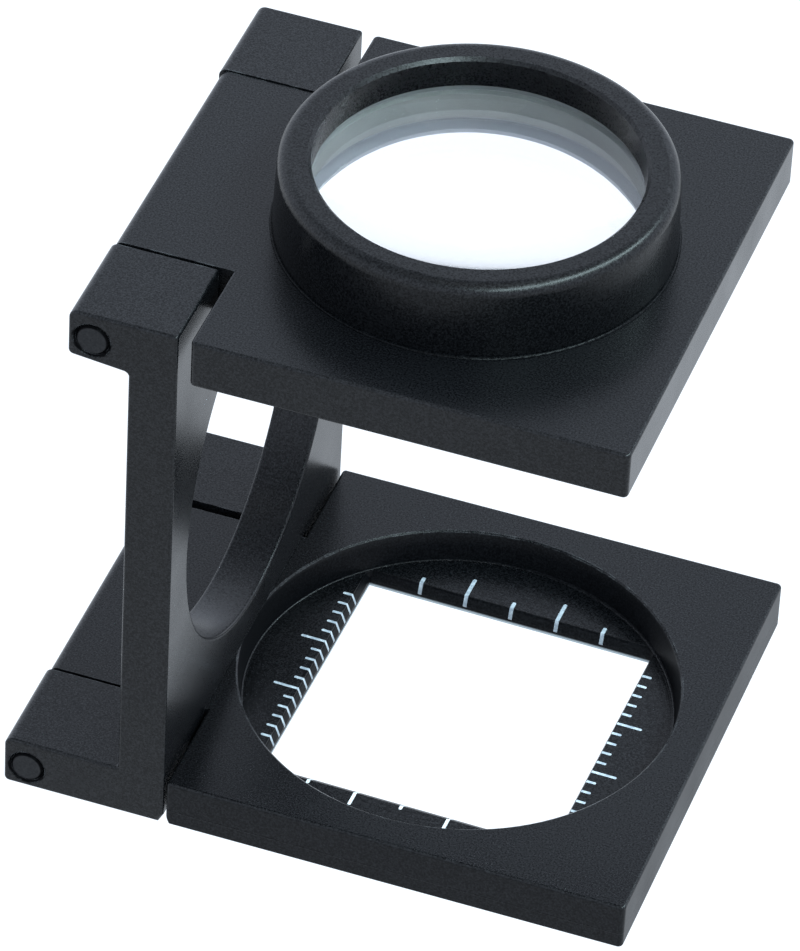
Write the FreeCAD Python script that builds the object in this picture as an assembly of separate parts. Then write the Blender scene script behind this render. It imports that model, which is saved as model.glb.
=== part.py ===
import FreeCAD, Part

import math
import os

# Folding viewing loupe of the linen-tester pattern: a base plate with a graduated window, an upright with
# a round opening, and a lens plate that carries a two-element magnifier in a short barrel. The upright is
# hinged to the base and the lens plate to the upright, each on two short pins. To close it, the lens plate
# turns up and over until it lies behind the upright with the barrel in the round opening, and the base
# turns under and up behind both. Millimetres. The origin is under the middle of the opened loupe, on the
# surface that it stands on: +X runs from the hinges to the free ends of the plates, +Y is the left-hand
# side, +Z is up.

Vector = FreeCAD.Vector
X_AXIS = Vector(1, 0, 0)
Y_AXIS = Vector(0, 1, 0)
Z_AXIS = Vector(0, 0, 1)

# Overall
LENGTH = 41.8
WIDTH = 33.4
BASE_THICKNESS = 3.5
LENS_PLATE_THICKNESS = 3.4
TOP_HEIGHT = 40.0  # top face of the lens plate
REAR = -LENGTH / 2
FRONT = LENGTH / 2
SIDE = WIDTH / 2

# Upright
STRUT_THICKNESS = 3.15
LOWER_EAR_REACH = 7.75  # how far the ears stand out behind the strut
UPPER_EAR_REACH = 3.95
LOWER_EAR_TOP = 3.65
UPPER_EAR_TOP = 40.1  # the ears stand a little above the lens plate
UPPER_EAR_FLOOR = 36.3  # at the strut
UPPER_EAR_REAR_FLOOR = 36.7  # the underside rises towards the rear end
OPENING_RADIUS = 13.55
OPENING_HEIGHT = 19.6  # where the folded barrel comes to rest
STRUT_BACK = REAR + LOWER_EAR_REACH
STRUT_FRONT = STRUT_BACK + STRUT_THICKNESS
UPPER_EAR_REAR = STRUT_BACK - UPPER_EAR_REACH

# Hinges
PIN_RADIUS = 1.1
PIN_LENGTH = 12.0
PIN_MARGIN = 1.55  # pin axis to the rear end of the ears
PIN_BEVEL = 0.15
RUNNING_CLEARANCE = 0.04  # pin in the tongue's bore, on the radius
LOWER_PIN = Vector(REAR + PIN_MARGIN, 0, 1.6)
UPPER_PIN = Vector(UPPER_EAR_REAR + PIN_MARGIN, 0, 38.15)
STOP_GAP = 0.05  # between a tongue and the crossbar that stops it
TONGUE_INSET = 0.15  # the tongues' rear ends sit inside the ears' rear ends
LOWER_SLOT = (-9.45, 9.70)  # between the lower ears
LOWER_TONGUE = (-9.07, 9.12)
UPPER_SLOT = (-9.60, 9.50)
UPPER_TONGUE = (-9.22, 9.43)

# Plates
BASE_BODY_REAR = -9.84
LENS_BODY_REAR = -9.2
LENS_PLATE_FRONT = 18.85
CORNER_RADIUS = 0.35
BASE_REAR_CORNER_RADIUS = 0.25
EDGE_RADIUS = 0.2
EAR_TOP_RADIUS = 0.6
EAR_CORNER_RADIUS = 0.35
RIM_BEVEL = 0.1  # round the recess at the top face
HEEL_BEVEL = (0.34, 0.65)  # along X and up, each side of the gap between the base and the upright

# Window, recess and scales
WINDOW_X = 4.22
WINDOW_HALF = 9.87
WINDOW_TURN = -1.0  # degrees: window and scales are struck slightly out of square with the plate
RECESS_X = 4.15
RECESS_RADIUS = 14.4
RECESS_FLOOR_RADIUS = 14.1
RECESS_FOOT_RADIUS = 0.15
FLOOR_HEIGHT = 1.2
BEVEL_WIDTH = 0.25
RIGHT_BEVEL_WIDTH = 0.8  # the bevel is flatter on the window's right side
LAND_HEIGHT = 0.53  # the window's upright edge below its bevel
MARK_DEPTH = 0.12
MARK_END_SHARE = 0.45  # the rounding of a mark's outer corners, as a share of its width
MM_MARKS = 16
MM_LONG_EVERY = 5
MM_SHIFT = -0.3
MM_WIDTH = 0.21
MM_REACH = {"short": 0.9, "long": 1.95}
INCH_STEP = 25.4 / 8
INCH_MARKS = 5
INCH_LONG_EVERY = 2  # counted from the window's corner, so the long marks are the quarters
INCH_WIDTH = 0.26
RIGHT_INCH_WIDTH = 0.22
INCH_REACH = {"short": 0.85, "long": 2.0}
RIGHT_INCH_REACH = {"short": 1.15, "long": 2.0}

# Barrel and optics
BARREL_X = 3.2
BARREL_Y = 0.38  # the barrel stands a little to the left of the plate's middle
BARREL_FOOT_RADIUS = 12.6
BARREL_TOP_RADIUS = 12.42
BARREL_HEIGHT = 5.3
BARREL_EDGE = 0.8
BARREL_FOOT_RING = 0.15  # how far a narrow ring at the foot stands out, and its height
FOOT_RING_EDGE = 0.1
SPIGOT_RADIUS = 11.4
LIP_RADIUS = 10.35
LIP_DEPTH = 2.1
LIP_BEVEL = 0.22
SEAT_RADIUS = 10.90
LENS_RADIUS = 10.85
LENS_EDGE = 1.5
LENS_BEVEL = 0.12
CLEAR_RADIUS = 10.45
CURVE_RADIUS = 42.0
VERTEX_GAP = 0.1
RETAINER_RADIUS = 9.7
RETAINER_RELIEF = 0.1  # its upper face falls away inwards, so it bears on the lens's rim alone
SPANNER_HOLE_RADIUS = 0.35
SPANNER_HOLE_DEPTH = 0.45
BARREL_TOP = TOP_HEIGHT + BARREL_HEIGHT
LENS_TOP = BARREL_TOP - LIP_DEPTH
CURVE_EDGE = LENS_RADIUS - LENS_BEVEL
SAG = CURVE_RADIUS - math.sqrt(CURVE_RADIUS**2 - CURVE_EDGE**2)
SPACER_TOP = LENS_TOP - LENS_EDGE
SPACER_BOTTOM = SPACER_TOP - 2 * SAG - VERTEX_GAP
LENS_BOTTOM = SPACER_BOTTOM - LENS_EDGE
PLATE_UNDERSIDE = TOP_HEIGHT - LENS_PLATE_THICKNESS
BARREL_PLACE = Vector(BARREL_X, BARREL_Y, 0)

FULL_TURN = 360
NEAR_ZERO = 1e-6


def on_floor(u, v):
    """Outline coordinates laid in the XY plane."""
    return Vector(u, v, 0)


def on_side(u, v):
    """Outline coordinates laid in the XZ plane."""
    return Vector(u, 0, v)


def closed_wire(corners, place):
    """A closed wire through corners (u, v) or (u, v, radius): a radius rounds the corner by an arc."""
    legs = []
    for index, corner in enumerate(corners):
        here = Vector(corner[0], corner[1], 0)
        radius = corner[2] if len(corner) > 2 else 0
        if radius == 0:
            legs.append((here, None, here))
            continue
        before = corners[index - 1]
        after = corners[(index + 1) % len(corners)]
        back = (Vector(before[0], before[1], 0) - here).normalize()
        onward = (Vector(after[0], after[1], 0) - here).normalize()
        half_angle = back.getAngle(onward) / 2
        inward = (back + onward).normalize()
        middle = here + inward * (radius / math.sin(half_angle) - radius)
        run = radius / math.tan(half_angle)
        legs.append((here + back * run, middle, here + onward * run))
    edges = []
    for index, (enters, middle, leaves) in enumerate(legs):
        if middle is not None:
            arc = Part.Arc(*(place(p.x, p.y) for p in (enters, middle, leaves)))
            edges.append(arc.toShape())
        arrives = legs[(index + 1) % len(legs)][0]
        if leaves.distanceToPoint(arrives) > NEAR_ZERO:
            edges.append(Part.makeLine(place(leaves.x, leaves.y), place(arrives.x, arrives.y)))
    return Part.Wire(edges)


def slab(corners, bottom, top):
    """A plate of the outline in plan, from bottom to top."""
    solid = Part.Face(closed_wire(corners, on_floor)).extrude(Z_AXIS * (top - bottom))
    solid.translate(Z_AXIS * bottom)
    return solid


def profile_bar(corners, right, left):
    """A bar of the outline seen from the side, between two Y positions."""
    solid = Part.Face(closed_wire(corners, on_side)).extrude(Y_AXIS * (left - right))
    solid.translate(Y_AXIS * right)
    return solid


def turned(corners):
    """A body of revolution about the barrel's axis from its (radius, height) section."""
    section = Part.Face(closed_wire(corners, on_side))
    solid = section.revolve(Vector(0, 0, 0), Z_AXIS, FULL_TURN)
    solid.translate(BARREL_PLACE)
    return solid


def box(x_range, y_range, z_range):
    """A block between two places on each axis."""
    low = Vector(x_range[0], y_range[0], z_range[0])
    high = Vector(x_range[1], y_range[1], z_range[1])
    size = high - low
    return Part.makeBox(size.x, size.y, size.z, low)


def soften(solid, radius, wanted):
    """Round the edges that the test picks out."""
    return solid.makeFillet(radius, [edge for edge in solid.Edges if wanted(edge)])


def lies_at(edge, axis, value):
    """Whether the whole edge lies in the plane axis = value."""
    middle = edge.valueAt((edge.FirstParameter + edge.LastParameter) / 2)
    points = [vertex.Point for vertex in edge.Vertexes] + [middle]
    return all(abs(getattr(point, axis) - value) < NEAR_ZERO for point in points)


def pin_bore(pin, radius):
    """A cylinder along the whole width on a hinge axis."""
    start = Vector(pin.x, -SIDE, pin.z)
    return Part.makeCylinder(radius, WIDTH, start, Y_AXIS)


def pin_mouths(pin):
    """The two countersinks round the pin ends, in the upright's outer faces."""
    wide = PIN_RADIUS + PIN_BEVEL
    right = Part.makeCone(wide, PIN_RADIUS, PIN_BEVEL, Vector(pin.x, -SIDE, pin.z), Y_AXIS)
    left = Part.makeCone(wide, PIN_RADIUS, PIN_BEVEL, Vector(pin.x, SIDE, pin.z), -Y_AXIS)
    return [right, left]


def hinge_pin(pin, side):
    """A short bevelled pin, flush with the outer face on one side: side is -1 right, +1 left."""
    start = Vector(pin.x, side * SIDE, pin.z)
    solid = Part.makeCylinder(PIN_RADIUS, PIN_LENGTH, start, Y_AXIS * -side)
    rims = [edge for edge in solid.Edges if edge.Closed]
    return solid.makeChamfer(PIN_BEVEL, rims)


def upright():
    """The strut with its four ears, its round opening and the slots that take the two tongues."""
    heel_x, heel_z = HEEL_BEVEL
    body = profile_bar(
        [
            (REAR, 0, EAR_CORNER_RADIUS),
            (STRUT_FRONT - heel_x, 0),
            (STRUT_FRONT, heel_z),
            (STRUT_FRONT, UPPER_EAR_TOP, EDGE_RADIUS),
            (UPPER_EAR_REAR, UPPER_EAR_TOP, EAR_TOP_RADIUS),
            (UPPER_EAR_REAR, UPPER_EAR_REAR_FLOOR, EAR_CORNER_RADIUS),
            (STRUT_BACK, UPPER_EAR_FLOOR, EAR_CORNER_RADIUS),
            (STRUT_BACK, LOWER_EAR_TOP, EDGE_RADIUS),
            (REAR, LOWER_EAR_TOP, EAR_TOP_RADIUS),
        ],
        -SIDE,
        SIDE,
    )
    body = soften(body, EDGE_RADIUS, lambda edge: lies_at(edge, "y", -SIDE) or lies_at(edge, "y", SIDE))
    centre = Vector(STRUT_BACK, 0, OPENING_HEIGHT)
    body = body.cut(Part.makeCylinder(OPENING_RADIUS, STRUT_THICKNESS, centre, X_AXIS))
    rims = [edge for edge in body.Edges if edge.Closed]
    body = body.makeFillet(EDGE_RADIUS, rims)
    slots = [
        box((REAR, STRUT_BACK), LOWER_SLOT, (0, LOWER_EAR_TOP + EDGE_RADIUS)),
        box((STRUT_BACK, STRUT_FRONT), LOWER_SLOT, (0, BASE_THICKNESS + STOP_GAP)),
        box((STRUT_BACK, STRUT_FRONT), UPPER_SLOT, (PLATE_UNDERSIDE - STOP_GAP, UPPER_EAR_TOP)),
        box((UPPER_EAR_REAR, STRUT_BACK), UPPER_SLOT, (UPPER_EAR_FLOOR - EAR_CORNER_RADIUS, UPPER_EAR_TOP)),
    ]
    bores = [pin_bore(pin, PIN_RADIUS) for pin in (LOWER_PIN, UPPER_PIN)]
    return body.cut(slots + bores + pin_mouths(LOWER_PIN) + pin_mouths(UPPER_PIN))


def plate_with_tongue(rear, body_rear, front, tongue, bottom, top, rear_corner_radius):
    """A plate with a tongue that reaches back between the ears of the upright."""
    right, left = tongue
    blank = slab(
        [
            (rear, right),
            (body_rear, right),
            (body_rear, -SIDE, rear_corner_radius),
            (front, -SIDE, CORNER_RADIUS),
            (front, SIDE, CORNER_RADIUS),
            (body_rear, SIDE, rear_corner_radius),
            (body_rear, left),
            (rear, left),
        ],
        bottom,
        top,
    )
    rounded_end = profile_bar(
        [
            (rear, bottom, EAR_CORNER_RADIUS),
            (front, bottom),
            (front, top),
            (rear, top, EAR_TOP_RADIUS),
        ],
        -SIDE,
        SIDE,
    )

    def outer_rim(edge):
        level = lies_at(edge, "z", bottom) or lies_at(edge, "z", top)
        return level and edge.CenterOfMass.x > body_rear + NEAR_ZERO

    return soften(blank.common(rounded_end), EDGE_RADIUS, outer_rim)


def window_block():
    """A square block through the window, still square with the plate."""
    x_range = (WINDOW_X - WINDOW_HALF, WINDOW_X + WINDOW_HALF)
    return box(x_range, (-WINDOW_HALF, WINDOW_HALF), (0, FLOOR_HEIGHT))


def bevel_cutter():
    """The four-sided funnel from the recess floor down to the window's upright edge."""
    rings = []
    for grow, right_grow, height in ((0, 0, LAND_HEIGHT), (BEVEL_WIDTH, RIGHT_BEVEL_WIDTH, FLOOR_HEIGHT)):
        half = WINDOW_HALF + grow
        right = -WINDOW_HALF - right_grow
        corners = [(-half, right), (half, right), (half, half), (-half, half)]
        points = [Vector(WINDOW_X + x, y, height) for x, y in corners]
        rings.append(Part.makePolygon(points + points[:1]))
    return Part.makeLoft(rings, True, True)


def turn_window(shape):
    """Turns a shape with the window out of square."""
    return shape.rotate(Vector(WINDOW_X, 0, 0), Z_AXIS, WINDOW_TURN)


def mark_cutter(reach, width, along, facing, bevel_width):
    """A groove up the window's bevel and outward: along is its place, facing its side in degrees."""
    start = WINDOW_HALF
    end = WINDOW_HALF + reach
    right = along - width / 2
    left = along + width / 2
    end_radius = MARK_END_SHARE * width
    section = profile_bar(
        [
            (start, FLOOR_HEIGHT),
            (start, LAND_HEIGHT - MARK_DEPTH),
            (start + bevel_width, FLOOR_HEIGHT - MARK_DEPTH),
            (end, FLOOR_HEIGHT - MARK_DEPTH),
            (end, FLOOR_HEIGHT),
        ],
        right,
        left,
    )
    outline = [(start, right), (end, right, end_radius), (end, left, end_radius), (start, left)]
    bar = section.common(slab(outline, 0, FLOOR_HEIGHT))
    bar.rotate(Vector(0, 0, 0), Z_AXIS, facing)
    bar.translate(X_AXIS * WINDOW_X)
    turn_window(bar)
    return bar


def mm_cutters(facing):
    """Sixteen marks 1 mm apart, facing 0 for the front side of the window and 180 for the rear."""
    sign = math.cos(math.radians(facing))
    cutters = []
    for index in range(MM_MARKS):
        place = index - (MM_MARKS - 1) / 2 + MM_SHIFT
        inner = 0 < index < MM_MARKS - 1
        kind = "long" if inner and index % MM_LONG_EVERY == 0 else "short"
        cutters.append(mark_cutter(MM_REACH[kind], MM_WIDTH, place * sign, facing, BEVEL_WIDTH))
    return cutters


def inch_cutters(facing, reaches, width, bevel_width):
    """Five marks an eighth of an inch apart, facing 90 for the window's left side and -90 for the right."""
    cutters = []
    for index in range(INCH_MARKS):
        place = (index - (INCH_MARKS - 1) / 2) * INCH_STEP
        kind = "long" if (index + 1) % INCH_LONG_EVERY == 0 else "short"
        cutters.append(mark_cutter(reaches[kind], width, place, facing, bevel_width))
    return cutters


def is_recess_rim(edge):
    """Whether the edge runs round the recess at the plate's top face."""
    point = edge.valueAt(edge.FirstParameter)
    on_rim = abs(math.hypot(point.x - RECESS_X, point.y) - RECESS_RADIUS) < NEAR_ZERO
    return on_rim and lies_at(edge, "z", BASE_THICKNESS)


def base_blank():
    """The base plate before its scales are engraved."""
    blank = plate_with_tongue(
        REAR + TONGUE_INSET,
        BASE_BODY_REAR,
        FRONT,
        LOWER_TONGUE,
        0,
        BASE_THICKNESS,
        BASE_REAR_CORNER_RADIUS,
    )
    heel_x, heel_z = HEEL_BEVEL
    heel = [(BASE_BODY_REAR, 0), (BASE_BODY_REAR + heel_x, 0), (BASE_BODY_REAR, heel_z)]
    heels = [
        profile_bar(heel, -SIDE, LOWER_TONGUE[0]),
        profile_bar(heel, LOWER_TONGUE[1], SIDE),
    ]
    recess = Part.makeCone(
        RECESS_FLOOR_RADIUS,
        RECESS_RADIUS,
        BASE_THICKNESS - FLOOR_HEIGHT,
        Vector(RECESS_X, 0, FLOOR_HEIGHT),
        Z_AXIS,
    )
    recess = soften(recess, RECESS_FOOT_RADIUS, lambda edge: lies_at(edge, "z", FLOOR_HEIGHT))
    inside_wall = Part.makeCylinder(
        RECESS_FLOOR_RADIUS - RECESS_FOOT_RADIUS, FLOOR_HEIGHT, Vector(RECESS_X, 0, 0), Z_AXIS
    )
    window = window_block()
    bevel = bevel_cutter()
    for shape in (window, bevel):
        turn_window(shape)
    opening = window.fuse(bevel).common(inside_wall)
    blank = blank.cut(heels + [recess, opening])
    rim = [edge for edge in blank.Edges if is_recess_rim(edge)]
    blank = blank.makeChamfer(RIM_BEVEL, rim)
    return blank.cut(pin_bore(LOWER_PIN, PIN_RADIUS + RUNNING_CLEARANCE))


def lens_plate():
    """The plate that carries the barrel."""
    plate = plate_with_tongue(
        UPPER_EAR_REAR + TONGUE_INSET,
        LENS_BODY_REAR,
        LENS_PLATE_FRONT,
        UPPER_TONGUE,
        PLATE_UNDERSIDE,
        TOP_HEIGHT,
        CORNER_RADIUS,
    )
    seat = Part.makeCylinder(
        SPIGOT_RADIUS, LENS_PLATE_THICKNESS, BARREL_PLACE + Z_AXIS * PLATE_UNDERSIDE, Z_AXIS
    )
    return plate.cut([seat, pin_bore(UPPER_PIN, PIN_RADIUS + RUNNING_CLEARANCE)])


def lens_barrel():
    """The round housing: a spigot through the plate, a drafted wall above it and a lip over the lens."""
    foot_ring_radius = BARREL_FOOT_RADIUS + BARREL_FOOT_RING
    foot_ring_top = TOP_HEIGHT + BARREL_FOOT_RING
    return turned(
        [
            (SEAT_RADIUS, PLATE_UNDERSIDE),
            (SPIGOT_RADIUS, PLATE_UNDERSIDE),
            (SPIGOT_RADIUS, TOP_HEIGHT),
            (foot_ring_radius, TOP_HEIGHT),
            (foot_ring_radius, foot_ring_top, FOOT_RING_EDGE),
            (BARREL_FOOT_RADIUS, foot_ring_top),
            (BARREL_TOP_RADIUS, BARREL_TOP, BARREL_EDGE),
            (LIP_RADIUS + LIP_BEVEL, BARREL_TOP),
            (LIP_RADIUS, BARREL_TOP - LIP_BEVEL),
            (LIP_RADIUS, LENS_TOP),
            (SEAT_RADIUS, LENS_TOP),
        ]
    )


def lens(flat_height, outward):
    """A plano-convex element: its flat face's height, and outward +1 where that face looks up, else -1."""
    rim_height = flat_height - outward * LENS_EDGE
    vertex_height = rim_height - outward * SAG
    curve_centre = vertex_height + outward * CURVE_RADIUS
    half_way = math.asin(CURVE_EDGE / CURVE_RADIUS) / 2
    curve_middle = on_side(
        CURVE_RADIUS * math.sin(half_way), curve_centre - outward * CURVE_RADIUS * math.cos(half_way)
    )
    flat_centre = on_side(0, flat_height)
    vertex = on_side(0, vertex_height)
    rim = [
        on_side(CURVE_EDGE, rim_height),
        on_side(LENS_RADIUS, rim_height + outward * LENS_BEVEL),
        on_side(LENS_RADIUS, flat_height - outward * LENS_BEVEL),
        on_side(LENS_RADIUS - LENS_BEVEL, flat_height),
        flat_centre,
        vertex,
    ]
    edges = [Part.Arc(vertex, curve_middle, rim[0]).toShape()]
    edges += [Part.makeLine(start, end) for start, end in zip(rim, rim[1:])]
    solid = Part.Face(Part.Wire(edges)).revolve(Vector(0, 0, 0), Z_AXIS, FULL_TURN)
    solid.translate(BARREL_PLACE)
    return solid


def lens_spacer():
    """The bright ring that keeps the two elements apart, its ends hollowed to their curves."""
    ring = turned(
        [
            (CLEAR_RADIUS, SPACER_BOTTOM),
            (LENS_RADIUS, SPACER_BOTTOM),
            (LENS_RADIUS, SPACER_TOP),
            (CLEAR_RADIUS, SPACER_TOP),
        ]
    )
    return ring.cut([lens(LENS_TOP, 1), lens(LENS_BOTTOM, -1)])


def lens_retaining_ring():
    """The ring that closes the barrel from below, with two holes for a pin spanner."""
    ring = turned(
        [
            (RETAINER_RADIUS, PLATE_UNDERSIDE),
            (SEAT_RADIUS, PLATE_UNDERSIDE),
            (SEAT_RADIUS, LENS_BOTTOM),
            (RETAINER_RADIUS, LENS_BOTTOM - RETAINER_RELIEF),
        ]
    )
    start = BARREL_PLACE + Z_AXIS * PLATE_UNDERSIDE
    out = Y_AXIS * ((RETAINER_RADIUS + SEAT_RADIUS) / 2)
    holes = [
        Part.makeCylinder(SPANNER_HOLE_RADIUS, SPANNER_HOLE_DEPTH, start + way, Z_AXIS)
        for way in (-out, out)
    ]
    return ring.cut(holes)


def build():
    """Every node of the loupe by name."""
    blank = base_blank()
    scales = {
        "mm_scale_front": mm_cutters(0),
        "mm_scale_rear": mm_cutters(180),
        "inch_scale_left": inch_cutters(90, INCH_REACH, INCH_WIDTH, BEVEL_WIDTH),
        "inch_scale_right": inch_cutters(-90, RIGHT_INCH_REACH, RIGHT_INCH_WIDTH, RIGHT_BEVEL_WIDTH),
    }
    nodes = {
        name: Part.makeCompound([cutter.common(blank) for cutter in cutters])
        for name, cutters in scales.items()
    }
    nodes["base_plate"] = blank.cut([cutter for cutters in scales.values() for cutter in cutters])
    nodes["upright"] = upright()
    for level, pin in (("lower", LOWER_PIN), ("upper", UPPER_PIN)):
        nodes[f"{level}_pin_right"] = hinge_pin(pin, -1)
        nodes[f"{level}_pin_left"] = hinge_pin(pin, 1)
    nodes["lens_plate"] = lens_plate()
    nodes["lens_barrel"] = lens_barrel()
    nodes["upper_lens"] = lens(LENS_TOP, 1)
    nodes["lower_lens"] = lens(LENS_BOTTOM, -1)
    nodes["lens_spacer"] = lens_spacer()
    nodes["lens_retaining_ring"] = lens_retaining_ring()
    return nodes


def main():
    os.makedirs("parts", exist_ok=True)
    for name, shape in build().items():
        solids = shape.Solids
        shape.exportStep(f"parts/{name}.step")
        print(name, "solids", len(solids), "volume", round(shape.Volume, 2), "valid", shape.isValid())


main()
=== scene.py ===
"""Folding viewing loupe: looks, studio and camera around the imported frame. Metres."""

import math

import bpy
from mathutils import Matrix, Vector


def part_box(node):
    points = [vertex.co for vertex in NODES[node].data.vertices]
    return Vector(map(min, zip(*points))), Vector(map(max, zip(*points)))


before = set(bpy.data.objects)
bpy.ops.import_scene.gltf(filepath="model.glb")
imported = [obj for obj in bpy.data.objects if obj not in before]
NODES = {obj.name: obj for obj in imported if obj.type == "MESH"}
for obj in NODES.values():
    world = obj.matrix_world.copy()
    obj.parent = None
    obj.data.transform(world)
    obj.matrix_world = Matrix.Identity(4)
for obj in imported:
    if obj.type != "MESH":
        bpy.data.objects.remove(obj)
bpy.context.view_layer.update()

MM = 0.001

# Camera: where it stands, and the way it looks back along, as azimuth, elevation and roll
CAMERA_PLACE = Vector((0.11066, -0.35673, 0.33660))
CAMERA_AZIMUTH = math.radians(17.331)
CAMERA_ELEVATION = math.radians(40.358)
CAMERA_ROLL = math.radians(3.245)
CAMERA_LENS = 292.03
CAMERA_SENSOR = 36.0
CAMERA_CLIP = (0.05, 20)

# Studio
FLOOR_SIZE = 4.0
FLOOR_DROP = 60 * MM  # the folding upright and lens plate swing below the base, clear of the floor
FLOOR_COLOUR = (0.11, 0.11, 0.11, 1)
FLOOR_SHADE = (0.10835, 0.10835, 0.10835, 1)
FLOOR_GLOW = 0.99  # the floor is a lit table top, so the window and the lens show it white
FLOOR_GLOW_COLOUR = (0.97, 1.03, 1.12, 1)
SKY_LOW = (0.90, 0.99, 1.15, 1)
SKY_ZENITH = (0.26, 0.29, 0.34, 1)
SKY_DIMS_FROM = 0.55  # height of the sky, 0 at the horizon and 1 at the zenith
SKY_STRENGTH = 1.18
# Area lights: width and height, power, colour and place
LIGHTS = {
    "wide_softbox": ((0.9, 0.9), 1.0, (1.0, 1.0, 1.0), (0.15, -0.10, 1.10)),
    "key_softbox": ((1.60, 0.20), 17.0, (0.74, 0.96, 1.0), (0.56, -0.06, 0.84)),
}

# Noises of the finishes: scale in features to the metre, detail and roughness
COATING_GRAIN = (8000, 2.0, 0.65)
COATING_CLOUD = (160, 4.0, 0.55)
COATING_SCUFFS = (420, 6.0, 0.7)
COATING_WEAR_AND_HIGHLIGHT = (900, 5.0, 0.7)
RECESS_RINGS = (5200, 3.0, 0.7)
PIN_RIM_RAGGED = (1500, 3.0, 0.6)
TURNED_RINGS = (3600, 3.0, 0.65)
TURNED_GRAIN = (7500, 2.0, 0.6)
TURNED_CLOUD = (180, 3.0, 0.5)
TURNED_WEAR_AND_HIGHLIGHT = (1100, 5.0, 0.7)
PIN_CLOUD = (900, 3.0, 0.6)
FROST_GRAIN = (5000, 3.0, 0.6)
FROST_CLOUD = (300, 3.0, 0.6)
ENAMEL_CLOUD = (2600, 3.0, 0.6)
FLOOR_CLOUD = (3.0, 2.0, 0.5)

# Colours
COATING_DARK = (0.0008, 0.0010, 0.0013, 1)
COATING_LIGHT = (0.0020, 0.0024, 0.0031, 1)
COATING_SPECK = (0.0085, 0.0093, 0.0110, 1)
COATING_SCUFF = (0.022, 0.024, 0.027, 1)
# The lighter grey on the plates' edges is worn coating and also a painted edge highlight.
COATING_WORN_AND_HIGHLIGHT = (0.16, 0.17, 0.18, 1)
TURNED_DARK = (0.0006, 0.0008, 0.0011, 1)
TURNED_LIGHT = (0.0014, 0.0017, 0.0022, 1)
TURNED_SPECK = (0.0060, 0.0068, 0.0080, 1)
# The lighter grey on the barrel's edges is worn finish and also a painted edge highlight.
TURNED_WORN_AND_HIGHLIGHT = (0.12, 0.13, 0.14, 1)
BARE_METAL = (0.42, 0.47, 0.50, 1)
PIN_DARK = (0.0025, 0.0030, 0.0038, 1)
PIN_LIGHT = (0.008, 0.009, 0.011, 1)
SEAM_BLACK = (0.0008, 0.0009, 0.0012, 1)
ENAMEL_DOWN_BEVEL = (0.10, 0.12, 0.14, 1)
CLEAR = (1.0, 1.0, 1.0, 1)
BLACK_IOR = 1.40
GLASS_IOR = 1.52

SIDE_TO_LEVEL = (0.2, 0.8)  # facing_up from a side to a level face
MIDDLE_OF_NOISE = (0.3, 0.7)  # where most of a noise lies
RECESS_RIM = (14.55 * MM, 14.65 * MM)  # radii on either side of the recess's wall
BARE_FOOT = (0.10 * MM, 0.26 * MM)  # heights over the base's underside where the bare line fades


def box_middle(low, high):
    return (low + high) / 2


# Places that the materials need, read from the frame
MARKS_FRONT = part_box("mm_scale_front")
MARKS_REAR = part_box("mm_scale_rear")
WINDOW_CENTRE = (box_middle(*MARKS_FRONT) + box_middle(*MARKS_REAR)) / 2
RECESS_FLOOR = MARKS_FRONT[1].z
BARREL_LOW, BARREL_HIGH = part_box("lens_barrel")
BARREL_CENTRE = box_middle(BARREL_LOW, BARREL_HIGH)
LENS_LOW, LENS_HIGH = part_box("upper_lens")
LENS_EDGE_RADIUS = (LENS_HIGH.x - LENS_LOW.x) / 2
PLATE_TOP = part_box("base_plate")[1].z
LENS_PLATE_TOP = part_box("lens_plate")[1].z
PIN_BOXES = [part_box(name) for name in NODES if "pin" in name]
PIN_CENTRES = [box_middle(*corners) for corners in PIN_BOXES if corners[0].y < 0]
PIN_RADIUS = (PIN_BOXES[0][1].x - PIN_BOXES[0][0].x) / 2
OUTER_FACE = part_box("upright")[1].y


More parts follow.
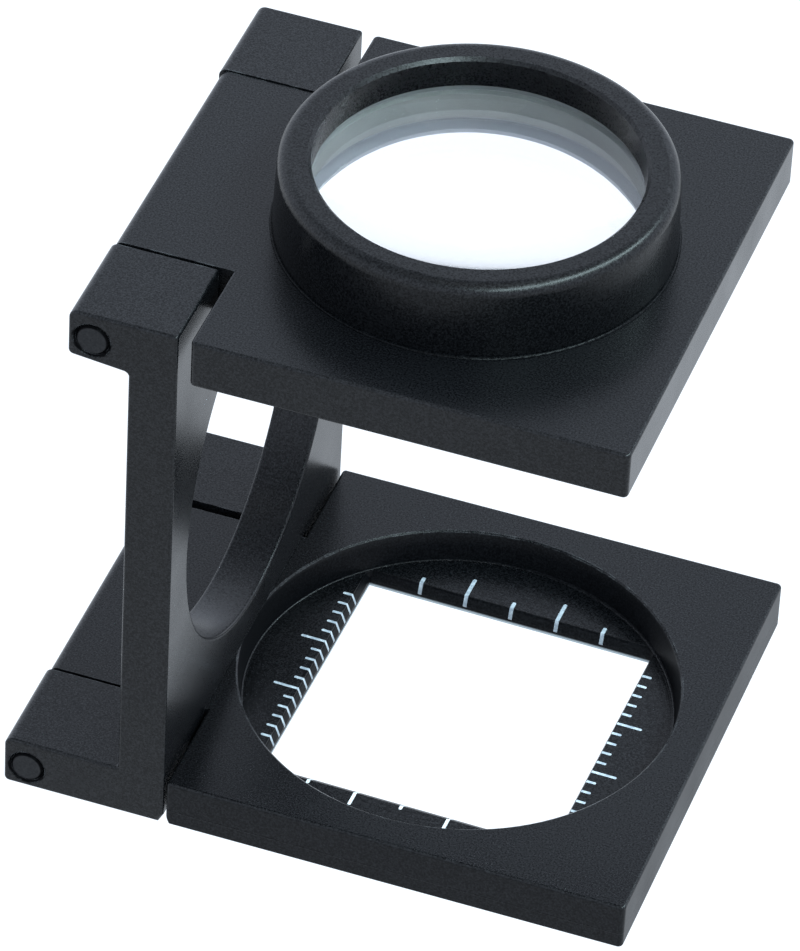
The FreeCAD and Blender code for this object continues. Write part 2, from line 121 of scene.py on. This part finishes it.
class Tree:
    """The node tree of a material or a world, built by calls that link sockets and set values alike."""

    def __init__(self, owner):
        self.owner = owner
        owner.use_nodes = True
        self.tree = owner.node_tree
        self.tree.nodes.clear()

    def add(self, kind, settings=None, **inputs):
        """A node of the kind: settings are its properties, inputs its sockets, with _ for spaces."""
        made = self.tree.nodes.new("ShaderNode" + kind)
        for name, value in (settings or {}).items():
            setattr(made, name, value)
        for name, value in inputs.items():
            self.put(made.inputs[name.replace("_", " ")], value)
        return made

    def put(self, socket, value):
        if isinstance(value, bpy.types.NodeSocket):
            self.tree.links.new(value, socket)
        else:
            socket.default_value = value

    def maths(self, operation, first, second=0.0):
        made = self.add("Math", {"operation": operation})
        self.put(made.inputs[0], first)
        self.put(made.inputs[1], second)
        return made.outputs[0]

    def times(self, first, *others):
        product = first
        for other in others:
            product = self.maths("MULTIPLY", product, other)
        return product

    def without(self, share):
        """1 less the share."""
        return self.maths("SUBTRACT", 1.0, share)

    def place(self):
        """The point in the node's own space, which is the row frame at rest."""
        return self.add("TexCoord").outputs["Object"]

    def apart(self, vector):
        return self.add("SeparateXYZ", Vector=vector).outputs

    def facing_up(self):
        """How level the surface is: 1 on a face that looks up or down, 0 on a side."""
        return self.maths("ABSOLUTE", self.apart(self.add("TexCoord").outputs["Normal"])["Z"])

    def noise(self, vector, kind):
        scale, detail, roughness = kind
        made = self.add("TexNoise", Vector=vector, Scale=scale, Detail=detail, Roughness=roughness)
        return made.outputs["Fac"]

    def line_noise(self, distance, kind):
        """Noise that varies along one distance only, as the tool's marks do."""
        return self.noise(self.add("CombineXYZ", X=distance).outputs[0], kind)

    def ramp(self, value, low, high, low_out=0.0, high_out=1.0):
        """Value from low to high mapped to low_out to high_out, and held there outside it."""
        made = self.add("MapRange")
        for socket, number in zip(made.inputs, (value, low, high, low_out, high_out)):
            self.put(socket, number)
        return made.outputs[0]

    def mix(self, share, first, second):
        made = self.add("Mix", {"data_type": "RGBA"})
        self.put(made.inputs["Factor"], share)
        colours = [socket for socket in made.inputs if socket.type == "RGBA"]
        self.put(colours[0], first)
        self.put(colours[1], second)
        return [socket for socket in made.outputs if socket.type == "RGBA"][0]

    def bump(self, height, strength, distance, normal=None):
        made = self.add("Bump", Height=height, Strength=strength, Distance=distance)
        if normal is not None:
            self.put(made.inputs["Normal"], normal)
        return made.outputs["Normal"]

    def radius(self, centre, second="Y"):
        """Distance from the line through centre that is square to X and to the second axis."""
        parts = self.apart(self.place())
        across = self.maths("SUBTRACT", parts["X"], centre.x)
        along = self.maths("SUBTRACT", parts[second], getattr(centre, second.lower()))
        flat = self.add("CombineXYZ", X=across, Y=along).outputs[0]
        return self.add("VectorMath", {"operation": "LENGTH"}, Vector=flat).outputs["Value"]

    def worn_and_highlit_edges(self, width):
        """1 on edges sharper than width, 0 on flats: where a rounded normal leaves the true one."""
        rounded = self.add("Bevel", {"samples": 4}, Radius=width).outputs["Normal"]
        true = self.add("NewGeometry").outputs["Normal"]
        alike = self.add("VectorMath", {"operation": "DOT_PRODUCT"})
        self.put(alike.inputs[0], rounded)
        self.put(alike.inputs[1], true)
        return self.ramp(alike.outputs["Value"], 0.995, 0.90)

    def surface(self, **inputs):
        shader = self.add("BsdfPrincipled", **inputs)
        self.add("OutputMaterial", Surface=shader.outputs[0])
        return self.owner


def material_tree(name):
    return Tree(bpy.data.materials.new(name))


def add_recess(t, look, place, upward):
    """Turned rings on the recess floor, a duller wall, and a bare line at the window's foot.

    Gives back where the worn edges, with their painted highlight, may show: 1 outside the recess and 0
    inside it.
    """
    height = t.apart(place)["Z"]
    radius = t.radius(WINDOW_CENTRE)
    off_level = t.maths("ABSOLUTE", t.maths("SUBTRACT", height, RECESS_FLOOR))
    on_floor = t.ramp(off_level, 0.02 * MM, 0.06 * MM, 1.0, 0.0)
    below_top = t.ramp(height, PLATE_TOP - 0.35 * MM, PLATE_TOP - 0.15 * MM, 1.0, 0.0)
    inside = t.times(below_top, t.ramp(radius, *RECESS_RIM, 1.0, 0.0))
    wall = t.times(inside, t.without(on_floor))
    rings = t.line_noise(radius, RECESS_RINGS)
    foot = t.ramp(off_level, 0.14 * MM, 0.22 * MM, 0.6, 0.0)
    bare_foot = t.times(inside, t.ramp(height, *BARE_FOOT, 0.85, 0.0))
    dull = t.maths("MAXIMUM", wall, t.ramp(upward, *SIDE_TO_LEVEL, 0.8, 0.0))
    look["Normal"] = t.bump(t.times(rings, on_floor), 0.7, 0.020 * MM, look["Normal"])
    look["Base_Color"] = t.mix(bare_foot, look["Base_Color"], BARE_METAL)
    look["Roughness"] = t.maths("ADD", look["Roughness"], t.times(dull, 0.15))
    look["Specular_IOR_Level"] = t.times(
        look["Specular_IOR_Level"],
        t.ramp(wall, 0.0, 1.0, 1.0, 0.40),
        t.without(t.times(foot, wall)),
        t.ramp(t.times(on_floor, rings), *MIDDLE_OF_NOISE, 0.95, 0.70),
    )
    return t.without(inside)


def add_pin_seams(t, look, place):
    """A dark, ragged seam round each pin on the outer faces."""
    off_middle = t.maths("ABSOLUTE", t.apart(place)["Y"])
    near_face = t.ramp(off_middle, OUTER_FACE - 0.2 * MM, OUTER_FACE - 0.1 * MM)
    ragged = t.ramp(t.noise(place, PIN_RIM_RAGGED), *MIDDLE_OF_NOISE, -0.05 * MM, 0.05 * MM)
    for centre in PIN_CENTRES:
        off_rim = t.maths("SUBTRACT", t.radius(centre, "Z"), PIN_RADIUS)
        seam = t.ramp(t.maths("ADD", off_rim, ragged), 0.16 * MM, 0.24 * MM, 1.0, 0.0)
        ring = t.times(near_face, seam)
        ring_shine = t.ramp(ring, 0.0, 1.0, 1.0, 0.12)
        look["Base_Color"] = t.mix(ring, look["Base_Color"], SEAM_BLACK)
        look["Specular_IOR_Level"] = t.times(look["Specular_IOR_Level"], ring_shine)


def black_coating(name, side_shine=0.60, recessed=False, pinned=False):
    """Satin black anodised plate: grain, cloudiness, scuffs, worn edges that are also a painted edge
    highlight, and sides duller than faces.
    """
    t = material_tree(name)
    place = t.place()
    grain = t.noise(place, COATING_GRAIN)
    cloud = t.noise(place, COATING_CLOUD)
    scuffs = t.ramp(t.noise(place, COATING_SCUFFS), 0.62, 0.78)
    # Lighter edges in patches: worn coating, and a painted edge highlight as well.
    wear_and_highlight = t.times(t.worn_and_highlit_edges(0.12 * MM), t.ramp(t.noise(place, COATING_WEAR_AND_HIGHLIGHT), 0.46, 0.62))
    dark = t.mix(cloud, COATING_DARK, COATING_LIGHT)
    speckled = t.mix(t.ramp(grain, 0.40, 0.75), dark, COATING_SPECK)
    upward = t.facing_up()
    shine_spread = t.ramp(upward, *SIDE_TO_LEVEL, 0.09, 0.18)
    shine = t.maths("ADD", 0.48, t.times(t.ramp(grain, 0.34, 0.70, -1.0, 1.0), shine_spread))
    cloudy = t.ramp(cloud, *MIDDLE_OF_NOISE, 0.24, 0.31)
    look = {
        "Base_Color": t.mix(t.times(scuffs, 0.25), speckled, COATING_SCUFF),
        "Roughness": t.maths("ADD", cloudy, t.ramp(grain, *MIDDLE_OF_NOISE, -0.04, 0.04)),
        "Specular_IOR_Level": t.times(shine, t.ramp(upward, *SIDE_TO_LEVEL, side_shine, 1.0)),
        "Normal": t.bump(grain, t.ramp(upward, *SIDE_TO_LEVEL, 0.14, 0.35), 0.012 * MM),
    }
    if recessed:
        wear_and_highlight = t.times(wear_and_highlight, add_recess(t, look, place, upward))
    if pinned:
        add_pin_seams(t, look, place)
    # Paints the edges lighter: worn coating and painted edge highlight together.
    look["Base_Color"] = t.mix(t.times(wear_and_highlight, 0.6), look["Base_Color"], COATING_WORN_AND_HIGHLIGHT)
    return t.surface(IOR=BLACK_IOR, **look)


def turned_black():
    """Glossier black of the turned barrel, with fine marks of the tool round it."""
    t = material_tree("turned_black_barrel")
    place = t.place()
    height = t.apart(place)["Z"]
    facing = t.facing_up()
    over = t.line_noise(t.radius(BARREL_CENTRE), TURNED_RINGS)
    along = t.line_noise(height, TURNED_RINGS)
    over_level = t.times(over, t.ramp(facing, 0.90, 0.97))
    along_wall = t.times(along, t.ramp(facing, 0.10, 0.30, 1.0, 0.0))
    rings = t.maths("ADD", over_level, along_wall)
    grain = t.noise(place, TURNED_GRAIN)
    cloud = t.noise(place, TURNED_CLOUD)
    foot_top = (LENS_PLATE_TOP + 0.20 * MM, LENS_PLATE_TOP + 0.30 * MM)
    off_foot = t.without(t.ramp(height, *foot_top, 0.75, 0.0))
    wear_and_highlight_patches = t.ramp(t.noise(place, TURNED_WEAR_AND_HIGHLIGHT), 0.48, 0.62)
    # Lighter edges, fainter at the foot: worn finish, and a painted edge highlight as well.
    wear_and_highlight = t.times(t.worn_and_highlit_edges(0.08 * MM), wear_and_highlight_patches, off_foot)
    dark = t.mix(cloud, TURNED_DARK, TURNED_LIGHT)
    speckled = t.mix(t.ramp(grain, 0.40, 0.75), dark, TURNED_SPECK)
    grain_shine = t.ramp(grain, 0.34, 0.70, 0.28, 0.58)
    cloudy = t.ramp(cloud, *MIDDLE_OF_NOISE, 0.25, 0.32)
    return t.surface(
        # Paints the edges lighter: worn finish and painted edge highlight together.
        Base_Color=t.mix(t.times(wear_and_highlight, 0.25), speckled, TURNED_WORN_AND_HIGHLIGHT),
        Roughness=t.maths("ADD", cloudy, t.ramp(grain, *MIDDLE_OF_NOISE, -0.04, 0.04)),
        IOR=BLACK_IOR,
        Specular_IOR_Level=t.times(grain_shine, t.ramp(facing, 0.1, 0.5, 0.6, 1.0), off_foot),
        Normal=t.bump(rings, 0.10, 0.005 * MM, t.bump(grain, 0.25, 0.008 * MM)),
    )


def pin_steel():
    """Blackened steel pin ends with faint cutting marks and a dark rim."""
    t = material_tree("blackened_pin_steel")
    place = t.place()
    grain = t.noise(place, COATING_GRAIN)
    colour = t.mix(t.noise(place, PIN_CLOUD), PIN_DARK, PIN_LIGHT)
    shine = t.ramp(grain, 0.34, 0.70, 0.18, 0.34)
    for centre in PIN_CENTRES:
        off_rim = t.maths("ABSOLUTE", t.maths("SUBTRACT", t.radius(centre, "Z"), PIN_RADIUS))
        rim = t.ramp(off_rim, 0.12 * MM, 0.20 * MM, 1.0, 0.0)
        colour = t.mix(rim, colour, SEAM_BLACK)
        shine = t.times(shine, t.ramp(rim, 0.0, 1.0, 1.0, 0.15))
    return t.surface(
        Base_Color=colour,
        Roughness=t.ramp(grain, *MIDDLE_OF_NOISE, 0.32, 0.42),
        IOR=BLACK_IOR,
        Specular_IOR_Level=shine,
        Normal=t.bump(grain, 0.3, 0.010 * MM),
    )


def bright_ring(name, low, high):
    """Bead-blasted bright aluminium between two tones."""
    t = material_tree(name)
    place = t.place()
    grain = t.noise(place, FROST_GRAIN)
    cloud = t.noise(place, FROST_CLOUD)
    return t.surface(
        Base_Color=t.mix(t.times(t.maths("ADD", grain, cloud), 0.5), low, high),
        Roughness=t.ramp(grain, *MIDDLE_OF_NOISE, 0.50, 0.65),
        Normal=t.bump(grain, 0.3, 0.012 * MM),
    )


def enamel(name, low, high):
    """White filling of the engraved marks between two tones, uneven and darker down the bevel below the
    recess floor.
    """
    t = material_tree(name)
    place = t.place()
    cloud = t.noise(place, ENAMEL_CLOUD)
    # Darker where the marks run down below the recess floor.
    down_bevel = t.ramp(t.apart(place)["Z"], RECESS_FLOOR - 0.5 * MM, RECESS_FLOOR, 0.5, 0.0)
    full = t.mix(t.ramp(cloud, 0.35, 0.65), low, high)
    return t.surface(
        Base_Color=t.mix(down_bevel, full, ENAMEL_DOWN_BEVEL),
        Roughness=t.ramp(cloud, *MIDDLE_OF_NOISE, 0.35, 0.55),
        Normal=t.bump(cloud, 0.4, 0.020 * MM),
    )


def lens_glass(name, edge_low, edge_high, rim=0.03 * MM):
    """Clear glass with a ground edge between two tones, and as wide a ground rim."""
    t = material_tree(name)
    place = t.place()
    rim_start = LENS_EDGE_RADIUS - rim - 0.03 * MM
    ground = t.ramp(t.radius(BARREL_CENTRE), rim_start, LENS_EDGE_RADIUS - rim)
    frost = t.noise(place, FROST_GRAIN)
    return t.surface(
        Base_Color=t.mix(ground, CLEAR, t.mix(frost, edge_low, edge_high)),
        Roughness=t.times(ground, t.ramp(frost, *MIDDLE_OF_NOISE, 0.45, 0.65)),
        IOR=GLASS_IOR,
        Transmission_Weight=t.ramp(ground, 0.0, 1.0, 1.0, 0.0),
    )


def studio_floor_material():
    t = material_tree("pale_studio_floor")
    cloud = t.noise(t.place(), FLOOR_CLOUD)
    return t.surface(
        Base_Color=t.mix(cloud, FLOOR_COLOUR, FLOOR_SHADE),
        Roughness=t.ramp(cloud, *MIDDLE_OF_NOISE, 0.85, 0.95),
        Specular_IOR_Level=0.1,
        Emission_Color=FLOOR_GLOW_COLOUR,
        Emission_Strength=FLOOR_GLOW,
    )


def finish_nodes():
    """Gives every CAD node its material."""
    finishes = {
        "lens_plate": black_coating("black_plate_coating"),
        "base_plate": black_coating("black_base_coating", side_shine=0.38, recessed=True),
        "upright": black_coating("black_upright_coating", pinned=True),
        "lens_barrel": turned_black(),
        "lens_retaining_ring": bright_ring(
            "satin_retaining_ring", (0.30, 0.34, 0.39, 1), (0.46, 0.51, 0.58, 1)
        ),
        "lens_spacer": bright_ring(
            "frosted_bright_ring", (0.21, 0.225, 0.22, 1), (0.36, 0.38, 0.375, 1)
        ),
        "upper_lens": lens_glass("upper_lens_glass", (0.20, 0.215, 0.215, 1), (0.32, 0.34, 0.34, 1)),
        # The lower lens's ground edge is painted lighter and wider than the upper's: painted light where
        # little light reaches it.
        "lower_lens": lens_glass(
            "lower_lens_glass", (0.36, 0.40, 0.44, 1), (0.52, 0.57, 0.62, 1), rim=0.20 * MM
        ),
        # The same white enamel is painted darker on the left inch scale, as painted shade, and lighter
        # on the right, as painted light.
        "inch_scale_left": enamel("painted_shade_mark_enamel", (0.24, 0.29, 0.34, 1), (0.48, 0.55, 0.60, 1)),
        "inch_scale_right": enamel("painted_light_mark_enamel", (0.80, 0.86, 0.90, 1), (0.93, 0.96, 0.98, 1)),
    }
    pins = pin_steel()
    marks = enamel("white_mark_enamel", (0.36, 0.43, 0.50, 1), (0.66, 0.74, 0.80, 1))
    for name, node in NODES.items():
        finish = finishes.get(name) or (pins if "pin" in name else marks)
        for slot in node.material_slots:
            slot.material = finish


def studio_floor():
    half = FLOOR_SIZE / 2
    mesh = bpy.data.meshes.new("studio_floor")
    corners = [(-half, -half, 0), (half, -half, 0), (half, half, 0), (-half, half, 0)]
    mesh.from_pydata(corners, [], [(0, 1, 2, 3)])
    floor = bpy.data.objects.new("studio_floor", mesh)
    floor.location.z = -FLOOR_DROP
    mesh.materials.append(studio_floor_material())
    bpy.context.scene.collection.objects.link(floor)


def studio_sky():
    """Even sky that dims from a band above the horizon to the zenith."""
    world = bpy.data.worlds.new("studio_sky")
    bpy.context.scene.world = world
    sky = Tree(world)
    upward = sky.apart(sky.add("TexCoord").outputs["Generated"])["Z"]
    colour = sky.mix(sky.ramp(upward, SKY_DIMS_FROM, 1.0), SKY_LOW, SKY_ZENITH)
    background = sky.add("Background", Color=colour, Strength=SKY_STRENGTH)
    sky.add("OutputWorld", Surface=background.outputs[0])


def studio_lights():
    """Soft area lights that face the object."""
    for name, ((width, height), power, colour, place) in LIGHTS.items():
        light = bpy.data.lights.new(name, "AREA")
        light.shape = "RECTANGLE"
        light.size = width
        light.size_y = height
        light.energy = power
        light.color = colour
        softbox = bpy.data.objects.new(name, light)
        softbox.location = place
        softbox.rotation_euler = Vector(place).to_track_quat("Z", "Y").to_euler()
        bpy.context.scene.collection.objects.link(softbox)


def camera():
    """The camera, from its place, azimuth, elevation and roll."""
    level = math.cos(CAMERA_ELEVATION)
    back = Vector((
        math.sin(CAMERA_AZIMUTH) * level,
        -math.cos(CAMERA_AZIMUTH) * level,
        math.sin(CAMERA_ELEVATION),
    ))
    right = Vector((math.cos(CAMERA_AZIMUTH), math.sin(CAMERA_AZIMUTH), 0))
    axes = Matrix((right, back.cross(right), back)).transposed()
    turned = (axes @ Matrix.Rotation(CAMERA_ROLL, 3, "Z")).to_4x4()
    lens = bpy.data.cameras.new("camera")
    lens.lens = CAMERA_LENS
    lens.sensor_width = CAMERA_SENSOR
    lens.clip_start, lens.clip_end = CAMERA_CLIP
    eye = bpy.data.objects.new("camera", lens)
    eye.matrix_world = Matrix.Translation(CAMERA_PLACE) @ turned
    bpy.context.scene.collection.objects.link(eye)
    bpy.context.scene.camera = eye


finish_nodes()
studio_floor()
studio_sky()
studio_lights()
camera()
bpy.context.scene.view_settings.view_transform = "Standard"
